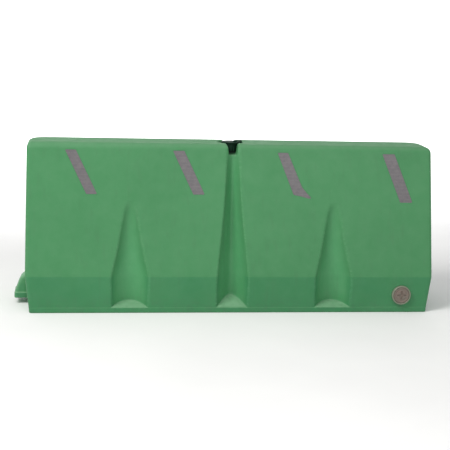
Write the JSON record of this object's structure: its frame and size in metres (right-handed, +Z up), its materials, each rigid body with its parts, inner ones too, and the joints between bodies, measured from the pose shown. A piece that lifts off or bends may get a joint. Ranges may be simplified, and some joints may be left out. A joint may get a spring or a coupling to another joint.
{
  "type": "water filled barrier",
  "caption": "Hollow moulded road barrier with sloped fluted faces, screw fill cap, screw drain plug, reflective stripes, and an end tongue and socket that interlock.",
  "frame": {"origin": "on the ground at the middle of the flat base, half way along the shell between its two end faces and on the plane midway between its two long faces", "axes": "+X along the barrier from the tongue end to the socket end, -Y out of the front face that carries the drain plug, +Z up"},
  "size_m": [2.058, 0.523, 0.819],
  "materials": {
    "shell_plastic": "satin",
    "neck_plastic": "satin",
    "cap_plastic": "satin",
    "bush_plastic": "satin",
    "plug_plastic": "satin",
    "seal_rubber": "matte",
    "reflective_tape": "satin"
  },
  "bodies": {
    "barrier": {"barrier_shell": "shell_plastic", "fill_neck": "neck_plastic", "drain_bush": "bush_plastic", "front_stripe_1": "reflective_tape", "front_stripe_2": "reflective_tape", "front_stripe_3": "reflective_tape", "front_stripe_4": "reflective_tape", "back_stripe_1": "reflective_tape", "back_stripe_2": "reflective_tape", "back_stripe_3": "reflective_tape", "back_stripe_4": "reflective_tape"},
    "fill_seal_carrier": {"fill_cap_seal": "seal_rubber"},
    "fill_cap_body": {"fill_cap": "cap_plastic"},
    "drain_seal_carrier": {"drain_plug_seal": "seal_rubber"},
    "drain_plug_body": {"drain_plug": "plug_plastic"}
  },
  "joints": [
    {"name": "fill_cap_lift", "type": "slide", "parent": "barrier", "child": "fill_seal_carrier", "axis": [0, 0, 1], "range_m": [0, 0.027]},
    {"name": "fill_cap_turn", "type": "hinge", "parent": "fill_seal_carrier", "child": "fill_cap_body", "pos_m": [0, 0, 0.77], "axis": [0, 0, 1], "range_deg": [0, 1620]},
    {"name": "drain_plug_draw", "type": "slide", "parent": "barrier", "child": "drain_seal_carrier", "axis": [0, -1, 0], "range_m": [0, 0.0225]},
    {"name": "drain_plug_turn", "type": "hinge", "parent": "drain_seal_carrier", "child": "drain_plug_body", "pos_m": [0.845, -0.254, 0.09], "axis": [0, -1, 0], "range_deg": [0, 1620]}
  ],
  "couplings": [
    {"joint": "fill_cap_lift", "follows": "fill_cap_turn", "m_per_rad": 0.00095492},
    {"joint": "drain_plug_draw", "follows": "drain_plug_turn", "m_per_rad": 0.00079577}
  ]
}
